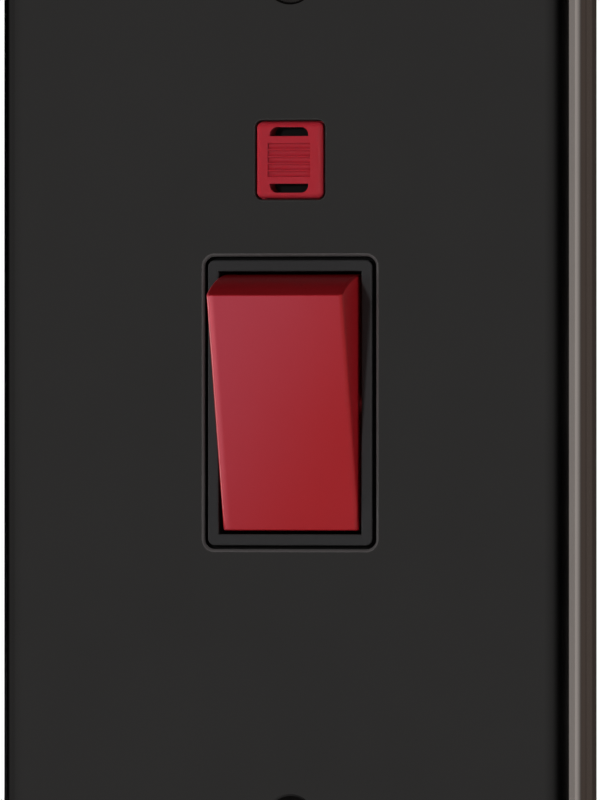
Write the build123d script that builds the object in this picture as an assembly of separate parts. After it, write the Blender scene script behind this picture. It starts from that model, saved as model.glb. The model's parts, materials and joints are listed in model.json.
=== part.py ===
from build123d import *
import math
import os

# Cooker switch: a double-height pressed plate with a red rocker and a red neon lens.
# Millimetres, X to the right, Z up, the front facing -Y. The origin is the centre of the
# plate on the wall plane. The mechanism is drawn about the rocker's own centre, which
# lies ROCKER_DROP below the centre of the plate.

# Front plate, pressed from sheet
PLATE_WIDTH = 87.3
PLATE_HEIGHT = 147.0
PLATE_DEPTH = 7.0
PLATE_CORNER = 6.5
SHEET = 1.2
EDGE_FALL = 0.85
EDGE_FALL_WIDTH = 3.8
EDGE_FALL_RADIUS = 16.0
EDGE_BEND = 0.4
CUTOUT_GAP = 0.5
CUTOUT_CORNER = 1.4
CUTOUT_EDGE = 0.45
WINDOW_EDGE = 0.25

# Fixing screws, M3.5 raised countersunk
FIXING_SPACING = 120.6
THREAD_R = 1.75
NECK_RELIEF = 0.2
FIXING_CLEARANCE = 0.25
HEAD_R = 3.6
HEAD_RISE = 0.7
HEAD_CLEARANCE = 0.05
COUNTERSINK_MARGIN = 0.3
FIXING_REACH = 19.0
FIXING_SLOT = 1.0
FIXING_SLOT_DEPTH = 1.3
FIXING_SLOT_ANGLE = 24.0

# Weld studs and push-on washers that hold the insert to the plate
STUD_R = 1.5
STUD_HEIGHT = 30.0
STUD_PROUD = 0.8
STUD_CLEARANCE = 0.2
WASHER_R = 3.0
WASHER_T = 0.8
WASHER_GAP = 2.5

# Insert moulding
FLANGE_T = 2.0
FLANGE_CORNER = 3.0
FLANGE_BORDER = 3.5
FLANGE_END = 5.0
RIM_WALL = 1.6
RIM_CORNER = 1.0
RIM_EDGE = 0.25
RIM_PROUD = 0.15
RELIEF_R = 0.5
RELIEF_MARGIN = 0.1
LEDGE_REACH = 2.2
LEDGE_T = 1.2
LEDGE_CLEARANCE = 0.3

# Rocker
ROCKER_DROP = 0.5
ROCKER_WIDTH = 20.4
ROCKER_FACE = 34.5
ROCKER_FRONT = 6.2
ROCKER_WALL = 1.7
ROCKER_EDGE = 0.7
ROCKER_END_EDGE = 0.35
ROCKER_SKIRT = 13.0
ROCKER_TILT = 13.4
ROCKER_SIDE_GAP = 0.5
ROCKER_END_GAP = 0.45
PIVOT_DEPTH = 2.2
PIVOT_CLEARANCE = 0.1
STUB_R = 1.5
STUB_REACH = 1.4

# Plungers and springs
PLUNGER_R = 2.1
PLUNGER_REACH = 7.75
SPIGOT_R = 1.0
SPIGOT_LENGTH = 1.2
GUIDE_CLEARANCE = 0.1
GUIDE_WALL = 1.0
GUIDE_REACH = 3.0
SPRING_R = 1.55
SPRING_WIRE = 0.5
SPRING_TURNS = 5
SPRING_SEAT = 0.05

# Contact arms, bars and tips
ARM_T = 1.6
ARM_SIDE_GAP = 0.85
ARM_REACH = 15.3
ARM_TILT = 7.0
ARM_PLAY = 0.24
BEAD_R = 1.0
BEAD_CLEARANCE = 0.1
TIP_R = 2.5
TIP_T = 1.25
TIP_RISE = 12.5
CONTACT_GAP = 0.05
BAR_T = 1.6
BAR_JOG = 20.0
BAR_CORNER = 1.0
SADDLE_HALF = 2.5
SADDLE_DROP = 0.3

# Terminals
TUNNEL_R = 3.0
TERMINAL_WALL = 2.5
TERMINAL_LENGTH = 14.0
TERMINAL_CHAMFER = 0.5
TERMINAL_OFFSET = 5.1
TERMINAL_SCREW_R = 2.0
TERMINAL_SCREW_LENGTH = 4.5
TERMINAL_SCREW_SPACING = 7.0
TERMINAL_SLOT = 0.9
TERMINAL_SLOT_DEPTH = 1.0
THREAD_CLEARANCE = 0.1

# Switch base
BASE_WALL = 2.0
BASE_FLOOR = 2.0
BASE_CORNER = 2.5
CAVITY_CORNER = 1.0
POCKET_CLEARANCE = 0.1
POCKET_WALL = 2.4
LIP = 1.2
ENTRY_R = 3.5
DIVIDER_T = 1.6
TOWER_WALL = 2.9
CORE_WALL = 2.0

# Screws that hold the base to the insert's bosses
BOSS_R = 3.5
BOSS_CLEARANCE = 0.5
BOSS_SEAT_CLEARANCE = 0.2
BOSS_RISE = 15.0
BASE_SCREW_R = 1.3
BASE_SCREW_LENGTH = 10.0
BASE_SCREW_HEAD_R = 2.8
BASE_SCREW_HEAD_T = 1.8
BASE_SCREW_CLEARANCE = 0.3
PILOT_CLEARANCE = 0.05
PILOT_DEPTH = 11.0

# Neon lens
LENS_RISE = 34.7
LENS_WIDTH = 10.0
LENS_HEIGHT = 10.9
LENS_CORNER = 0.9
LENS_PROUD = 0.5
LENS_EDGE = 0.85
LENS_CLEARANCE = 0.15
LENS_FLANGE = 1.2
LENS_FLANGE_T = 1.0
LENS_SLOT_WIDTH = 5.8
LENS_SLOT_HEIGHT = 1.3
LENS_SLOT_CORNER = 1.1
LENS_SLOT_FLAT = 3.4
RIB_COUNT = 5
RIB_PITCH = 1.0
RIB_LENGTH = 6.4
RIB_GROOVE_R = 0.45
RIB_GROOVE_DEPTH = 0.35
LIGHT_POCKET_DEPTH = 1.5
LIGHT_POCKET_INSET = 0.6

# Neon lamp, its resistor and their leads
WINDOW_WIDTH = 9.0
WINDOW_HEIGHT = 6.4
BULB_R = 2.5
BULB_LENGTH = 15.0
BULB_DOME = 2.0
BULB_PINCH = 0.9
BULB_CLEARANCE = 0.3
CRADLE_T = 1.2
CRADLE_WALL = 1.4
CRADLE_DEPTH = 1.5
CRADLE_CLEARANCE = 0.1
LEAD_R = 0.3
LEAD_SPREAD = 0.8
LEAD_LOOP = 2.5
LEAD_BEND = 1.2
RESISTOR_R = 1.2
RESISTOR_LENGTH = 6.5
RESISTOR_EDGE = 0.4
RESISTOR_DROP = 2.5

# Earth connection
EARTH_X = 25.0
EARTH_GAP = 5.0
EARTH_SHEET = 1.2
EARTH_PAD = 10.0
EARTH_BEND = 0.8
EARTH_TUNNEL_R = 2.0
EARTH_WALL = 2.0
EARTH_LENGTH = 8.0
EARTH_STAND_OFF = 1.0
EARTH_SCREW_R = 1.7
EARTH_SCREW_LENGTH = 4.0

# Pieces that are cut run this far past the faces they open
CUT_PAST = 1.0

# Depths along Y
WALL_Y = 0.0
FRONT_Y = WALL_Y - PLATE_DEPTH
INNER_Y = FRONT_Y + SHEET
RIM_Y = FRONT_Y - RIM_PROUD
FLANGE_BACK = INNER_Y + FLANGE_T
PIVOT_Y = FRONT_Y + PIVOT_DEPTH
ROCKER_R = math.hypot(ROCKER_FRONT, ROCKER_FACE / 2)
SKIRT_BACK = PIVOT_Y + ROCKER_R * math.sin(math.radians(ROCKER_SKIRT + ROCKER_TILT))
LEDGE_FRONT = SKIRT_BACK + LEDGE_CLEARANCE
WELL_BACK = LEDGE_FRONT + LEDGE_T
HINGE_Y = PIVOT_Y + PLUNGER_REACH + ARM_PLAY + ARM_T / math.cos(math.radians(ARM_TILT))
BAR_FRONT = HINGE_Y + 2 * TIP_T + CONTACT_GAP
FLOOR_FRONT = BAR_FRONT + BAR_T
FLOOR_BACK = FLOOR_FRONT + BASE_FLOOR
TERMINAL_WIDTH = 2 * (TUNNEL_R + TERMINAL_WALL)
TUNNEL_Y = FLOOR_FRONT + TERMINAL_WIDTH / 2
TERMINAL_BACK = FLOOR_FRONT + TERMINAL_WIDTH
BASE_BACK = TERMINAL_BACK + POCKET_CLEARANCE + LIP
BULB_Y = FLANGE_BACK + BULB_R + BULB_CLEARANCE
RESISTOR_Y = BULB_Y + BULB_R + RESISTOR_R + RESISTOR_DROP

# Rocker opening, rim and plate cut-out
OPENING_WIDTH = ROCKER_WIDTH + 2 * ROCKER_SIDE_GAP
OPENING_HEIGHT = 2 * (ROCKER_R + ROCKER_END_GAP)
RIM_WIDTH = OPENING_WIDTH + 2 * RIM_WALL
RIM_HEIGHT = OPENING_HEIGHT + 2 * RIM_WALL
LEDGE_GAP = OPENING_HEIGHT - 2 * LEDGE_REACH
CHEEK_X = ROCKER_WIDTH / 2 - ROCKER_WALL

# Poles, bosses, base and studs, outwards from the rocker
PLUNGER_X = (CHEEK_X + DIVIDER_T / 2) / 2
ARM_WIDTH = CHEEK_X - DIVIDER_T / 2 - 2 * ARM_SIDE_GAP
BOSS_X = RIM_WIDTH / 2 + BOSS_CLEARANCE + BOSS_R
CAVITY_WIDTH = 2 * (BOSS_X + BOSS_R + BOSS_SEAT_CLEARANCE)
BASE_WIDTH = CAVITY_WIDTH + 2 * BASE_WALL
TERMINAL_X = BASE_WIDTH / 2 - POCKET_WALL - POCKET_CLEARANCE - TERMINAL_WIDTH / 2
TERMINAL_START = RIM_HEIGHT / 2 + TERMINAL_OFFSET
TERMINAL_END = TERMINAL_START + TERMINAL_LENGTH
BASE_HEIGHT = 2 * (TERMINAL_END + POCKET_CLEARANCE + POCKET_WALL)
CAVITY_HEIGHT = BASE_HEIGHT - 2 * BASE_WALL
TOWER_START = TERMINAL_START - TOWER_WALL
STUD_X = BASE_WIDTH / 2 + WASHER_GAP + WASHER_R
FLANGE_WIDTH = 2 * (STUD_X + FLANGE_BORDER)
FLANGE_HEIGHT = BASE_HEIGHT + 2 * FLANGE_END
STUD_BACK = FLANGE_BACK + WASHER_T + STUD_PROUD

# Where the mechanism sits in the plate, and how its moving pieces rest with the switch on
IN_PLATE = Pos(0, 0, -ROCKER_DROP)
ROCKER_REST = Pos(0, PIVOT_Y, 0) * Rot(ROCKER_TILT, 0, 0)
ARM_REST = Pos(0, HINGE_Y, 0) * Rot(-ARM_TILT, 0, 0)


def facing(y):
    """Plane at depth y that looks out of the wall, with X to the right and Z up."""
    return Plane(origin=(0, y, 0), x_dir=(1, 0, 0), z_dir=(0, -1, 0))


def run_back(outline, front, back):
    """Solid of an outline drawn in X and Z, run from depth front to depth back."""
    return extrude(facing(front) * outline, amount=back - front, dir=(0, 1, 0))


def run_across(outline, low, high):
    """Solid of an outline drawn in Y and Z, run along X from low to high."""
    return extrude(Plane.YZ.offset(low) * outline, amount=high - low)


def rod(x, z, radius, front, back):
    """Round bar along Y."""
    return run_back(Pos(x, z) * Circle(radius), front, back)


def upright(x, y, radius, low, high):
    """Round bar along Z."""
    return extrude(Plane.XY.offset(low) * Pos(x, y) * Circle(radius), amount=high - low)


def turned(*points):
    """Solid turned about the Y axis from (radius, depth) points."""
    return revolve(make_face(Polyline(*points, close=True)), Axis.Y)


def both_sides(piece):
    """The piece and its mirror image across the middle plane."""
    return piece + mirror(piece, Plane.YZ)


def four_places(x, z):
    """The corners of a rectangle about the centre."""
    return [(i * x, k * z) for i in (-1, 1) for k in (-1, 1)]


# Fixing screws and their dimples
COUNTERSINK_R = HEAD_R + COUNTERSINK_MARGIN
FIXING_HOLE_R = THREAD_R + FIXING_CLEARANCE
DIMPLE_FLOOR = FRONT_Y + COUNTERSINK_R - FIXING_HOLE_R
DIMPLE_BACK = DIMPLE_FLOOR + SHEET / math.sqrt(2)
DIMPLE_SKIN = SHEET * math.sqrt(2)


def make_dimple():
    """Back of a pressed 90 degree countersink, as thick as the sheet."""
    mid_sheet = INNER_Y - SHEET / 2
    inner_r = COUNTERSINK_R - SHEET + DIMPLE_SKIN
    end_r = inner_r - (DIMPLE_BACK - INNER_Y)
    return turned((0, mid_sheet), (inner_r, mid_sheet), (inner_r, INNER_Y), (end_r, DIMPLE_BACK),
                  (0, DIMPLE_BACK))


def make_countersink():
    """Space of a countersunk screw hole through the plate."""
    start = FRONT_Y - CUT_PAST
    end = DIMPLE_BACK + CUT_PAST
    rim_r = COUNTERSINK_R + CUT_PAST
    return turned((0, start), (rim_r, start), (FIXING_HOLE_R, DIMPLE_FLOOR), (FIXING_HOLE_R, end), (0, end))


def make_pressed_block(inset):
    """Closed block with the plate's pressed edge, set in from its outside by inset."""
    outline = RectangleRounded(PLATE_WIDTH - 2 * inset, PLATE_HEIGHT - 2 * inset, PLATE_CORNER - inset)
    block = run_back(outline, FRONT_Y + inset, WALL_Y)
    face = block.faces().sort_by(Axis.Y)[0]
    width = EDGE_FALL_WIDTH - inset
    fall = EDGE_FALL * width / EDGE_FALL_WIDTH
    block = chamfer(face.edges(), width, fall, reference=face)
    fold_y = FRONT_Y + inset + fall
    fold = block.edges().filter_by_position(Axis.Y, fold_y - fall / 4, fold_y + fall / 4)
    block = fillet(fold, EDGE_BEND + SHEET - inset)
    return fillet(block.faces().sort_by(Axis.Y)[0].edges(), EDGE_FALL_RADIUS + inset)


def opening_edges(plate):
    """Front edges of the rocker's cut-out, then of the lens window above it."""
    front = plate.faces().filter_by(Plane.XZ).sort_by(Axis.Y)[0]
    openings = [wire for wire in front.inner_wires() if wire.edges().filter_by(GeomType.LINE)]
    return [wire.edges() for wire in sorted(openings, key=lambda wire: wire.center().Z)]


def make_front_plate():
    """Pressed plate with its cut-out, lens window, countersinks and weld studs."""
    plate = make_pressed_block(0) - make_pressed_block(SHEET)
    for z in (-FIXING_SPACING / 2, FIXING_SPACING / 2):
        plate = plate + Pos(0, 0, z) * make_dimple() - Pos(0, 0, z) * make_countersink()
    for x, z in four_places(STUD_X, STUD_HEIGHT):
        plate += IN_PLATE * rod(x, z, STUD_R, INNER_Y - SHEET / 2, STUD_BACK)
    cutout = RectangleRounded(RIM_WIDTH + 2 * CUTOUT_GAP, RIM_HEIGHT + 2 * CUTOUT_GAP, CUTOUT_CORNER)
    window = RectangleRounded(LENS_WIDTH + 2 * LENS_CLEARANCE, LENS_HEIGHT + 2 * LENS_CLEARANCE, LENS_CORNER)
    for hole in (cutout, Pos(0, LENS_RISE) * window):
        plate -= IN_PLATE * run_back(hole, FRONT_Y - CUT_PAST, INNER_Y + CUT_PAST)
    plate = fillet(opening_edges(plate)[0], CUTOUT_EDGE)
    return fillet(opening_edges(plate)[1], WINDOW_EDGE)


def make_fixing_screws():
    """Two raised countersunk slotted screws."""
    rim_y = FRONT_Y + COUNTERSINK_MARGIN - HEAD_CLEARANCE
    neck_r = THREAD_R - NECK_RELIEF
    neck_y = rim_y + HEAD_R - neck_r
    thread_y = DIMPLE_BACK + NECK_RELIEF
    dome = ThreePointArc((-HEAD_R, rim_y), (0, rim_y - HEAD_RISE), (HEAD_R, rim_y))
    half_dome = dome.trim(0.5, 1)
    side = Polyline(half_dome @ 1, (neck_r, neck_y), (neck_r, thread_y), (THREAD_R, thread_y),
                    (THREAD_R, FIXING_REACH), (0, FIXING_REACH), half_dome @ 0)
    screw = revolve(make_face((half_dome + side).edges()), Axis.Y)
    slot_front = rim_y - HEAD_RISE
    slot = run_back(Rot(0, 0, FIXING_SLOT_ANGLE) * Rectangle(2 * HEAD_R + CUT_PAST, FIXING_SLOT),
                    slot_front - CUT_PAST, slot_front + FIXING_SLOT_DEPTH)
    screw -= slot
    return Compound([Pos(0, 0, z) * screw.solid() for z in (-FIXING_SPACING / 2, FIXING_SPACING / 2)])


def make_stud_washers():
    """Four push-on washers on the weld studs."""
    washers = []
    for x, z in four_places(STUD_X, STUD_HEIGHT):
        ring = Circle(WASHER_R) - Circle(STUD_R + PILOT_CLEARANCE)
        washers.append(run_back(Pos(x, z) * ring, FLANGE_BACK, FLANGE_BACK + WASHER_T).solid())
    return Compound(washers)


def make_insert():
    """Black moulding: rim around the rocker, flange, rocker well with dust ledges, bosses and lamp cradle."""
    opening = Rectangle(OPENING_WIDTH, OPENING_HEIGHT)
    rim = run_back(RectangleRounded(RIM_WIDTH, RIM_HEIGHT, RIM_CORNER), RIM_Y, WELL_BACK)
    rim -= run_back(opening, RIM_Y, LEDGE_FRONT)
    rim -= run_back(Rectangle(OPENING_WIDTH, LEDGE_GAP), LEDGE_FRONT, WELL_BACK)
    rim = fillet(rim.faces().sort_by(Axis.Y)[0].edges(), RIM_EDGE)
    flange = run_back(RectangleRounded(FLANGE_WIDTH, FLANGE_HEIGHT, FLANGE_CORNER), INNER_Y, FLANGE_BACK)
    insert = rim + (flange - run_back(opening, INNER_Y, FLANGE_BACK)) - make_relief()
    hole_end = ROCKER_WIDTH / 2 + STUB_REACH + PIVOT_CLEARANCE
    insert -= run_across(Pos(PIVOT_Y, 0) * Circle(STUB_R + PIVOT_CLEARANCE), -hole_end, hole_end)
    for x, z in four_places(STUD_X, STUD_HEIGHT):
        insert -= rod(x, z, STUD_R + STUD_CLEARANCE, INNER_Y, FLANGE_BACK)
    for x, z in four_places(BOSS_X, BOSS_RISE):
        insert += rod(x, z, BOSS_R, FLANGE_BACK, FLOOR_FRONT)
        insert -= rod(x, z, BASE_SCREW_R + PILOT_CLEARANCE, FLOOR_FRONT - PILOT_DEPTH, FLOOR_FRONT)
    return insert - make_lens_seat() + make_cradle()


def make_relief():
    """Round groove in the flange at the foot of the rim, behind the edge of the plate's cut-out."""
    offset = CUTOUT_GAP + RELIEF_MARGIN
    outline = RectangleRounded(RIM_WIDTH + 2 * offset, RIM_HEIGHT + 2 * offset, RIM_CORNER + offset)
    path = (facing(INNER_Y) * outline).face().outer_wire()
    return sweep(Plane(origin=path @ 0, z_dir=path % 0) * Circle(RELIEF_R), path=path)


def make_lens_seat():
    """Recess for the lens flange and the window that lets the lamp's light through."""
    margin = 2 * (LENS_FLANGE + LENS_CLEARANCE)
    recess = RectangleRounded(LENS_WIDTH + margin, LENS_HEIGHT + margin, LENS_CORNER)
    seat = run_back(recess, INNER_Y, INNER_Y + LENS_FLANGE_T)
    seat += run_back(Rectangle(WINDOW_WIDTH, WINDOW_HEIGHT), INNER_Y, FLANGE_BACK)
    return Pos(0, 0, LENS_RISE) * seat


def make_cradle():
    """Two notched ribs that hold the lamp behind the window."""
    notch_r = BULB_R + CRADLE_CLEARANCE
    back = BULB_Y + CRADLE_DEPTH
    centre_x = WINDOW_WIDTH / 2 + CRADLE_T / 2
    rib = run_back(Pos(centre_x, 0) * Rectangle(CRADLE_T, 2 * (notch_r + CRADLE_WALL)), FLANGE_BACK, back)
    rib -= run_back(Pos(centre_x, 0) * Rectangle(CRADLE_T, 2 * notch_r), BULB_Y, back)
    rib -= run_across(Pos(BULB_Y, 0) * Circle(notch_r), centre_x - CRADLE_T / 2, centre_x + CRADLE_T / 2)
    return Pos(0, 0, LENS_RISE) * both_sides(rib)


def rocker_outline(front, radius, skirt):
    """Side outline about the pivot: flat front, round ends that run past the pivot by skirt degrees."""
    rise = math.degrees(math.asin(front / radius))
    top = CenterArc((0, 0), radius, 90 - skirt, rise + skirt)
    bottom = CenterArc((0, 0), radius, -90 - rise, rise + skirt)
    outline = top + Line(top @ 1, bottom @ 0) + bottom + Line(bottom @ 1, top @ 0)
    return make_face(outline.edges())


def make_rocker():
    """Hollow rocker with pivot stubs and the two plunger guides."""
    half = ROCKER_WIDTH / 2
    inner_front = ROCKER_FRONT - ROCKER_WALL
    rocker = run_across(rocker_outline(ROCKER_FRONT, ROCKER_R, ROCKER_SKIRT), -half, half)
    rocker = fillet(rocker.faces().sort_by(Axis.Y)[0].edges().filter_by(Axis.Z), ROCKER_EDGE)
    ends = rocker.faces().filter_by(GeomType.CYLINDER).sort_by(SortBy.AREA)[-2:]
    rocker = fillet([edge for end in ends for edge in end.edges().sort_by(Axis.Y)[:-1]], ROCKER_END_EDGE)
    hollow = rocker_outline(inner_front, ROCKER_R - ROCKER_WALL, 2 * ROCKER_SKIRT)
    rocker -= run_across(hollow, -CHEEK_X, CHEEK_X)
    rocker += both_sides(run_across(Circle(STUB_R), CHEEK_X, half + STUB_REACH))
    bore_r = PLUNGER_R + GUIDE_CLEARANCE
    rocker += both_sides(rod(PLUNGER_X, 0, bore_r + GUIDE_WALL, -inner_front, GUIDE_REACH))
    rocker -= both_sides(rod(PLUNGER_X, 0, bore_r, -inner_front, GUIDE_REACH))
    return ROCKER_REST * rocker


def make_plunger(x):
    """Round-nosed plunger with a spigot inside its spring."""
    nose = CenterArc((0, PLUNGER_REACH - PLUNGER_R), PLUNGER_R, 0, 90)
    side = Polyline(nose @ 1, (0, -SPIGOT_LENGTH), (SPIGOT_R, -SPIGOT_LENGTH), (SPIGOT_R, 0),
                    (PLUNGER_R, 0), nose @ 0)
    plunger = revolve(make_face((nose + side).edges()), Axis.Y)
    return ROCKER_REST * Pos(x, 0, 0) * plunger


def make_spring(x):
    """Coil spring between the plunger's shoulder and the front of its guide."""
    height = ROCKER_FRONT - ROCKER_WALL - SPRING_WIRE - 2 * SPRING_SEAT
    helix = Helix(pitch=height / SPRING_TURNS, height=height, radius=SPRING_R)
    wire = Plane(origin=helix @ 0, z_dir=helix % 0) * Circle(SPRING_WIRE / 2)
    coil = sweep(wire, path=helix, is_frenet=True)
    return ROCKER_REST * Pos(x, -SPRING_SEAT - SPRING_WIRE / 2, 0) * Rot(90, 0, 0) * coil


def make_arm(x):
    """See-saw contact arm: a strip bent to a shallow V, with a bead that rocks in the saddle."""
    tilt = math.radians(ARM_TILT)
    rise = ARM_REACH * math.cos(tilt)
    lean = -ARM_REACH * math.sin(tilt)
    front_rise = rise - ARM_T * math.sin(tilt)
    front_lean = lean - ARM_T * math.cos(tilt)
    outline = Polyline((0, 0), (lean, rise), (front_lean, front_rise), (-ARM_T / math.cos(tilt), 0),
                       (front_lean, -front_rise), (lean, -rise), close=True)
    low = x - ARM_WIDTH / 2
    high = x + ARM_WIDTH / 2
    return ARM_REST * (run_across(make_face(outline), low, high) + run_across(Circle(BEAD_R), low, high))


def make_arm_tip(x):
    """Contact tip on the back of the arm's upper wing, which stands upright when the switch is on."""
    return rod(x, TIP_RISE, TIP_R, HINGE_Y, HINGE_Y + TIP_T)


def make_fixed_tip(x):
    """Contact tip on the load bar."""
    return rod(x, TIP_RISE, TIP_R, BAR_FRONT - TIP_T, BAR_FRONT)


def bar_outline(x, start, end):
    """Flat bar in X and Z: up the pole, across to the terminal and along its face."""
    side = math.copysign(1, x)
    upward = math.copysign(1, end)
    jog = upward * (BAR_JOG + ARM_WIDTH / 2)
    corner = upward * (BAR_JOG + ARM_WIDTH)
    inner = Pos(x, (start + corner) / 2) * Rectangle(ARM_WIDTH, abs(corner - start))
    across_width = TERMINAL_X - PLUNGER_X + ARM_WIDTH
    across = Pos(side * (TERMINAL_X + PLUNGER_X) / 2, jog) * Rectangle(across_width, ARM_WIDTH)
    foot = upward * BAR_JOG
    outer = Pos(side * TERMINAL_X, (foot + end) / 2) * Rectangle(ARM_WIDTH, abs(end - foot))
    outline = inner + across + outer
    return fillet(outline.vertices(), BAR_CORNER)


def make_supply_bar(x):
    """Bar with the saddle that carries the arm, down to the supply terminal."""
    bar = run_back(bar_outline(x, SADDLE_HALF, -TERMINAL_END), BAR_FRONT, FLOOR_FRONT)
    block = Pos(x, 0) * Rectangle(ARM_WIDTH, 2 * SADDLE_HALF)
    saddle = run_back(block, HINGE_Y + SADDLE_DROP, BAR_FRONT + BAR_T / 2)
    groove = Pos(HINGE_Y, 0) * Circle(BEAD_R + BEAD_CLEARANCE)
    return bar + (saddle - run_across(groove, x - ARM_WIDTH / 2, x + ARM_WIDTH / 2))


def make_load_bar(x):
    """Bar from under the fixed tip up to the load terminal."""
    return run_back(bar_outline(x, TIP_RISE - TIP_R, TERMINAL_END), BAR_FRONT, FLOOR_FRONT)


def terminal_screw_heights():
    """Heights of a terminal's two screws in the upper terminals."""
    middle = TERMINAL_START + TERMINAL_LENGTH / 2
    return (middle - TERMINAL_SCREW_SPACING / 2, middle + TERMINAL_SCREW_SPACING / 2)


def make_terminal(x, upward):
    """Brass tunnel block with two screw holes from the back."""
    middle = upward * (TERMINAL_START + TERMINAL_END) / 2
    block = run_back(Pos(x, middle) * Rectangle(TERMINAL_WIDTH, TERMINAL_LENGTH), FLOOR_FRONT, TERMINAL_BACK)
    block = chamfer(block.faces().sort_by(Axis.Y)[-1].edges(), TERMINAL_CHAMFER)
    ends = sorted((upward * TERMINAL_START, upward * TERMINAL_END))
    block -= upright(x, TUNNEL_Y, TUNNEL_R, *ends)
    for z in terminal_screw_heights():
        block -= rod(x, upward * z, TERMINAL_SCREW_R + THREAD_CLEARANCE, TUNNEL_Y, TERMINAL_BACK)
    return block


def slotted_screw(radius, front, length, slot_width, slot_depth):
    """Headless slotted screw along Y."""
    screw = rod(0, 0, radius, front, front + length)
    return screw - run_back(Rectangle(2 * radius, slot_width), front + length - slot_depth, front + length)


def make_terminal_screws():
    """Eight terminal screws, backed off clear of the tunnels."""
    front = TUNNEL_Y + TUNNEL_R + THREAD_CLEARANCE
    screw = slotted_screw(TERMINAL_SCREW_R, front, TERMINAL_SCREW_LENGTH, TERMINAL_SLOT, TERMINAL_SLOT_DEPTH)
    places = [place for z in terminal_screw_heights() for place in four_places(TERMINAL_X, z)]
    return Compound([Pos(x, 0, z) * screw.solid() for x, z in places])


def make_base():
    """Moulded base: tray in front, stepped back, a pocket for each terminal and a rib between the poles."""
    base = run_back(RectangleRounded(BASE_WIDTH, BASE_HEIGHT, BASE_CORNER), FLANGE_BACK, BASE_BACK)
    base -= run_back(RectangleRounded(CAVITY_WIDTH, CAVITY_HEIGHT, CAVITY_CORNER), FLANGE_BACK, FLOOR_FRONT)
    base -= run_back(Rectangle(BASE_WIDTH, 2 * TOWER_START), FLOOR_BACK, BASE_BACK)
    divider = Rectangle(DIVIDER_T, LEDGE_GAP - 2 * LEDGE_CLEARANCE)
    base += run_back(divider, LEDGE_FRONT, FLOOR_FRONT + BASE_FLOOR / 2)
    core_width = 2 * (TERMINAL_X - TERMINAL_WIDTH / 2 - POCKET_CLEARANCE - CORE_WALL)
    middle = (TERMINAL_START + TERMINAL_END) / 2
    pocket = Rectangle(TERMINAL_WIDTH + 2 * POCKET_CLEARANCE, TERMINAL_LENGTH + 2 * POCKET_CLEARANCE)
    mouth = Rectangle(TERMINAL_WIDTH - 2 * LIP, TERMINAL_LENGTH - 2 * LIP)
    for z in (-middle, middle):
        base -= run_back(Pos(0, z) * Rectangle(core_width, TERMINAL_LENGTH), FLOOR_BACK, BASE_BACK)
    for x, z in four_places(TERMINAL_X, middle):
        base -= run_back(Pos(x, z) * pocket, FLOOR_FRONT, TERMINAL_BACK + POCKET_CLEARANCE)
        base -= run_back(Pos(x, z) * mouth, TERMINAL_BACK, BASE_BACK)
        ends = sorted((z, math.copysign(BASE_HEIGHT / 2, z)))
        base -= upright(x, TUNNEL_Y, ENTRY_R, *ends)
    for x, z in four_places(BOSS_X, BOSS_RISE):
        base -= rod(x, z, BASE_SCREW_R + BASE_SCREW_CLEARANCE, FLOOR_FRONT, FLOOR_BACK)
    return base


def make_base_screws():
    """Four bevel-headed screws through the base into the insert's bosses."""
    screw = rod(0, 0, BASE_SCREW_R, FLOOR_BACK - BASE_SCREW_LENGTH, FLOOR_BACK)
    head = rod(0, 0, BASE_SCREW_HEAD_R, FLOOR_BACK, FLOOR_BACK + BASE_SCREW_HEAD_T)
    head = chamfer(head.edges().sort_by(Axis.Y)[-1], BASE_SCREW_HEAD_T / 3)
    slot = run_back(Rectangle(2 * BASE_SCREW_HEAD_R, TERMINAL_SLOT), FLOOR_BACK + BASE_SCREW_HEAD_T / 2,
                    FLOOR_BACK + BASE_SCREW_HEAD_T)
    screw = screw + head - slot
    return Compound([Pos(x, 0, z) * screw.solid() for x, z in four_places(BOSS_X, BOSS_RISE)])


def make_lens():
    """Red lens: round-edged block with cross ribs between two D-shaped slots, on a trapped flange."""
    front = FRONT_Y - LENS_PROUD
    back = INNER_Y + LENS_FLANGE_T
    lens = run_back(RectangleRounded(LENS_WIDTH, LENS_HEIGHT, LENS_CORNER), front, back)
    lens = fillet(lens.faces().sort_by(Axis.Y)[0].edges(), LENS_EDGE)
    flange = RectangleRounded(LENS_WIDTH + 2 * LENS_FLANGE, LENS_HEIGHT + 2 * LENS_FLANGE, LENS_CORNER)
    lens += run_back(flange, INNER_Y, back)
    outline = Rectangle(LENS_SLOT_WIDTH, LENS_SLOT_HEIGHT)
    outline = fillet(outline.vertices().sort_by(Axis.Y)[-2:], LENS_SLOT_CORNER)
    slot = run_back(Pos(0, LENS_SLOT_FLAT + LENS_SLOT_HEIGHT / 2) * outline, front, back)
    lens -= slot
    lens -= mirror(slot, Plane.XY)
    for i in range(RIB_COUNT):
        z = (i - (RIB_COUNT - 1) / 2) * RIB_PITCH
        groove = Pos(front + RIB_GROOVE_DEPTH - RIB_GROOVE_R, z) * Circle(RIB_GROOVE_R)
        lens -= run_across(groove, -RIB_LENGTH / 2, RIB_LENGTH / 2)
    pocket = Rectangle(WINDOW_WIDTH - 2 * LIGHT_POCKET_INSET, WINDOW_HEIGHT - 2 * LIGHT_POCKET_INSET)
    lens -= run_back(pocket, back - LIGHT_POCKET_DEPTH, back)
    return Pos(0, 0, LENS_RISE) * lens


def make_bulb():
    """Neon bulb: glass tube with a domed end and a pinched end."""
    bulb = run_across(Pos(BULB_Y, LENS_RISE) * Circle(BULB_R), -BULB_LENGTH / 2, BULB_LENGTH / 2)
    bulb = fillet(bulb.edges().sort_by(Axis.X)[0], BULB_DOME)
    return fillet(bulb.edges().sort_by(Axis.X)[-1], BULB_PINCH)


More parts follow.
